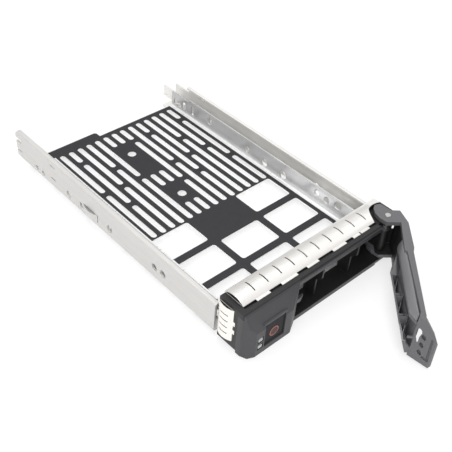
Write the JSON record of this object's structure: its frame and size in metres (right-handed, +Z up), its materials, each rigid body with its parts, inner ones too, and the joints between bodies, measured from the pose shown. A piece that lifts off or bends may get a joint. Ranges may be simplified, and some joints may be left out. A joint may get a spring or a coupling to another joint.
{
  "type": "hot swap drive caddy",
  "caption": "Hot swap caddy for a 3.5 inch drive: folded steel tray with a slotted black film, side rails, moulded bezel with spring strips, swing lever and release button",
  "frame": {"origin": "on the top face of the insulating film, on the centre line, level with the rear pair of side screw holes; it is the seat of the drive", "axes": "+Z up, +Y towards the back where the drive's connector is, +X to the right seen from the front"},
  "size_m": [0.1206, 0.2631, 0.0319],
  "materials": {
    "galvanised": "satin galvanised sheet steel, faint grain",
    "film": "black insulating film, slightly glossy",
    "rail": "satin sheet steel, warm grey",
    "nickel": "bright nickel plated spring sheet",
    "bezel_plastic": "moulded dark grey plastic, fine texture",
    "light_pipe": "clear plastic, milky at the ends",
    "button_plastic": "dark grey plastic, slightly glossy",
    "ring_plastic": "orange-red plastic",
    "lens_plastic": "dark red plastic",
    "latch_plastic": "dark plastic",
    "spring_steel": "bright spring wire",
    "pin_steel": "turned bright steel",
    "lever_plastic": "moulded dark grey plastic, fine texture"
  },
  "bodies": {
    "tray": {"tray_pan": "galvanised", "insulating_film": "film", "left_rail": "rail", "right_rail": "rail", "top_emi_strip": "nickel", "bottom_emi_strip": "nickel", "left_emi_strip": "nickel", "right_emi_strip": "nickel", "front_bezel": "bezel_plastic", "upper_light_pipe": "light_pipe", "lower_light_pipe": "light_pipe", "button_spring": "spring_steel", "latch_spring": "spring_steel", "lever_spring": "spring_steel", "lever_pin": "pin_steel"},
    "lever": {"lever_arm": "lever_plastic"},
    "button": {"release_button": "button_plastic", "button_ring": "ring_plastic", "button_lens": "lens_plastic"},
    "latch": {"latch_slide": "latch_plastic"}
  },
  "joints": [
    {"name": "lever_hinge", "type": "hinge", "parent": "tray", "child": "lever", "pos_m": [0.0497, -0.1429, 0.0115], "axis": [0, 0, 1], "range_deg": [-45, 0], "stiffness_Nm_per_rad": 0.05, "deforming": ["lever_spring"]},
    {"name": "release_button_slide", "type": "slide", "parent": "tray", "child": "button", "axis": [0, 1, 0], "range_m": [0, 0.0025], "stiffness_N_per_m": 300, "deforming": ["button_spring"]},
    {"name": "latch_travel", "type": "slide", "parent": "tray", "child": "latch", "axis": [-1, 0, 0], "range_m": [0, 0.0025], "stiffness_N_per_m": 200, "deforming": ["latch_spring"]}
  ],
  "couplings": [
    {"joint": "latch_travel", "follows": "release_button_slide", "ratio": 1}
  ]
}
